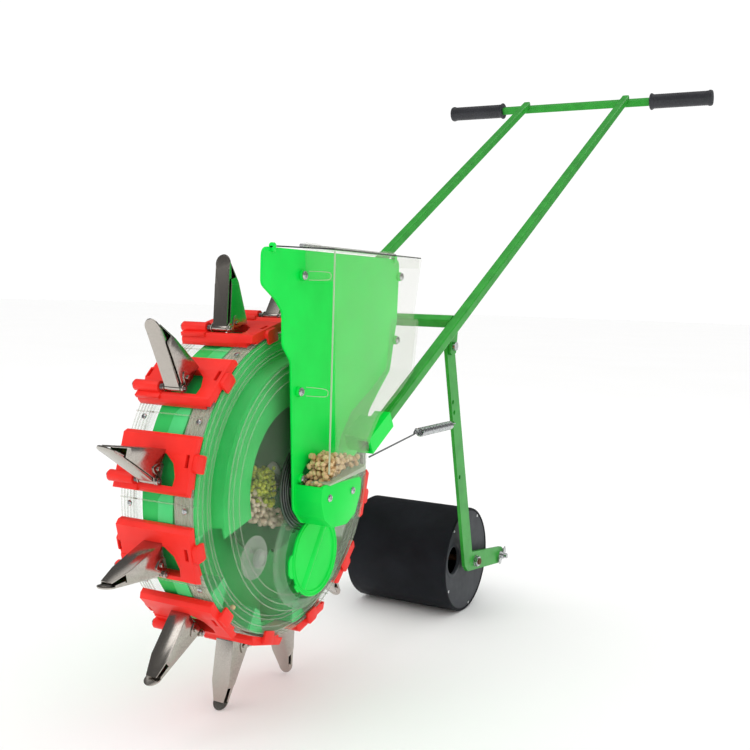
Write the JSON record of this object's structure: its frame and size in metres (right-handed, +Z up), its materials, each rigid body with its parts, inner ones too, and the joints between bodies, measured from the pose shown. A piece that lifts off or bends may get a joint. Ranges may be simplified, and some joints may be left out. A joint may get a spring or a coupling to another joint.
{
  "type": "push seeder",
  "caption": "Hand-pushed dibbling seeder: a clear seed drum with hinged beaks turns under a clear side hopper, a sprung press roller trails behind, and two bars reach back to a handlebar.",
  "frame": {"origin": "on the ground under the middle of the machine's bounding box", "axes": "+Z up, +Y back towards the handlebar, +X towards the seed hopper"},
  "size_m": [0.586, 1.47, 0.9443],
  "materials": {
    "clear_plastic": "clear moulded polycarbonate",
    "green_plastic": "bright green moulded plastic",
    "milky_plastic": "translucent white nylon",
    "red_plastic": "red moulded plastic",
    "stainless": "brushed stainless sheet",
    "zinc": "bright zinc plated steel",
    "green_paint": "green powder coat",
    "black_rubber": "black rubber grip",
    "black_plastic": "black moulded polyethylene"
  },
  "bodies": {
    "frame": {"bar_lower_left": "green_paint", "bar_upper_left": "green_paint", "bar_lower_right": "green_paint", "bar_upper_right": "green_paint", "splice_plugs": "green_paint", "handlebar": "green_paint", "crossbar": "green_paint", "grip_left": "black_rubber", "grip_right": "black_rubber", "bracket_near": "green_plastic", "bracket_far": "green_plastic", "axle": "zinc", "axle_nut": "zinc", "pivot_lugs": "green_paint", "pivot_bolts": "zinc", "hopper_plate": "green_plastic", "hopper_bowl": "green_plastic", "hopper_box": "clear_plastic", "hopper_shelf": "clear_plastic", "hopper_screws": "zinc", "lid_pin": "zinc", "tension_springs": "zinc", "spring_rods": "zinc"},
    "wheel": {"drum_cover_near": "clear_plastic", "drum_cover_far": "clear_plastic", "seed_rotor": "green_plastic", "metering_disc": "milky_plastic", "drum_screws": "zinc", "drain_plug": "clear_plastic", "beak_seats": "red_plastic", "fixed_beaks": "stainless", "hinge_pins": "zinc", "axle_bearings": "milky_plastic"},
    "cap": {"filler_cap": "green_plastic"},
    "lid": {"hopper_lid": "clear_plastic"},
    "press_arm": {"press_arm_left": "green_paint", "press_arm_right": "green_paint", "roller_axle": "zinc", "roller_nuts": "zinc", "roller_spacers": "zinc", "tie_rod": "zinc", "wing_nuts": "zinc", "spring_hooks": "zinc"},
    "press_roller": {"roller_shell": "black_plastic", "roller_end_near": "black_plastic", "roller_end_far": "black_plastic", "roller_bushings": "milky_plastic"},
    "beak_01": {"moving_beak_01": "stainless"},
    "beak_02": {"moving_beak_02": "stainless"},
    "beak_03": {"moving_beak_03": "stainless"},
    "beak_04": {"moving_beak_04": "stainless"},
    "beak_05": {"moving_beak_05": "stainless"},
    "beak_06": {"moving_beak_06": "stainless"},
    "beak_07": {"moving_beak_07": "stainless"},
    "beak_08": {"moving_beak_08": "stainless"},
    "beak_09": {"moving_beak_09": "stainless"},
    "beak_10": {"moving_beak_10": "stainless"},
    "beak_11": {"moving_beak_11": "stainless"},
    "beak_12": {"moving_beak_12": "stainless"}
  },
  "joints": [
    {"name": "wheel_spin", "type": "hinge", "parent": "frame", "child": "wheel", "pos_m": [0, -0.46377, 0.27124], "axis": [1, 0, 0], "continuous": true},
    {"name": "cap_twist", "type": "hinge", "parent": "wheel", "child": "cap", "pos_m": [0.08, -0.44977, 0.18274], "axis": [1, 0, 0], "range_deg": [0, 60]},
    {"name": "lid_hinge", "type": "hinge", "parent": "frame", "child": "lid", "pos_m": [0.085, -0.39177, 0.55324], "axis": [0, -1, 0], "range_deg": [0, 110]},
    {"name": "arm_pivot", "type": "hinge", "parent": "frame", "child": "press_arm", "pos_m": [0, -0.12777, 0.42894], "axis": [1, 0, 0], "range_deg": [-4, 5], "stiffness_Nm_per_rad": 300},
    {"name": "roller_spin", "type": "hinge", "parent": "press_arm", "child": "press_roller", "pos_m": [0, -0.00277, 0.0825], "axis": [1, 0, 0], "continuous": true},
    {"name": "beak_01_open", "type": "hinge", "parent": "wheel", "child": "beak_01", "pos_m": [0, -0.54123, 0.45599], "axis": [1, 0, 0], "range_deg": [0, 25], "stiffness_Nm_per_rad": 0.6, "springref_deg": -17.19},
    {"name": "beak_02_open", "type": "hinge", "parent": "wheel", "child": "beak_02", "pos_m": [0, -0.62322, 0.39251], "axis": [1, 0, 0], "range_deg": [0, 25], "stiffness_Nm_per_rad": 0.6, "springref_deg": -17.19},
    {"name": "beak_03_open", "type": "hinge", "parent": "wheel", "child": "beak_03", "pos_m": [0, -0.66249, 0.29654], "axis": [1, 0, 0], "range_deg": [0, 25], "stiffness_Nm_per_rad": 0.6, "springref_deg": -17.19},
    {"name": "beak_04_open", "type": "hinge", "parent": "wheel", "child": "beak_04", "pos_m": [0, -0.64852, 0.19378], "axis": [1, 0, 0], "range_deg": [0, 25], "stiffness_Nm_per_rad": 0.6, "springref_deg": -17.19},
    {"name": "beak_05_open", "type": "hinge", "parent": "wheel", "child": "beak_05", "pos_m": [0, -0.58504, 0.11179], "axis": [1, 0, 0], "range_deg": [0, 25], "stiffness_Nm_per_rad": 0.6, "springref_deg": -17.19},
    {"name": "beak_06_open", "type": "hinge", "parent": "wheel", "child": "beak_06", "pos_m": [0, -0.48907, 0.07252], "axis": [1, 0, 0], "range_deg": [0, 25], "stiffness_Nm_per_rad": 0.6, "springref_deg": -17.19},
    {"name": "beak_07_open", "type": "hinge", "parent": "wheel", "child": "beak_07", "pos_m": [0, -0.38631, 0.08649], "axis": [1, 0, 0], "range_deg": [0, 25], "stiffness_Nm_per_rad": 0.6, "springref_deg": -17.19},
    {"name": "beak_08_open", "type": "hinge", "parent": "wheel", "child": "beak_08", "pos_m": [0, -0.30432, 0.14997], "axis": [1, 0, 0], "range_deg": [0, 25], "stiffness_Nm_per_rad": 0.6, "springref_deg": -17.19},
    {"name": "beak_09_open", "type": "hinge", "parent": "wheel", "child": "beak_09", "pos_m": [0, -0.26505, 0.24594], "axis": [1, 0, 0], "range_deg": [0, 25], "stiffness_Nm_per_rad": 0.6, "springref_deg": -17.19},
    {"name": "beak_10_open", "type": "hinge", "parent": "wheel", "child": "beak_10", "pos_m": [0, -0.27902, 0.3487], "axis": [1, 0, 0], "range_deg": [0, 25], "stiffness_Nm_per_rad": 0.6, "springref_deg": -17.19},
    {"name": "beak_11_open", "type": "hinge", "parent": "wheel", "child": "beak_11", "pos_m": [0, -0.3425, 0.43069], "axis": [1, 0, 0], "range_deg": [0, 25], "stiffness_Nm_per_rad": 0.6, "springref_deg": -17.19},
    {"name": "beak_12_open", "type": "hinge", "parent": "wheel", "child": "beak_12", "pos_m": [0, -0.43847, 0.46996], "axis": [1, 0, 0], "range_deg": [0, 25], "stiffness_Nm_per_rad": 0.6, "springref_deg": -17.19}
  ]
}
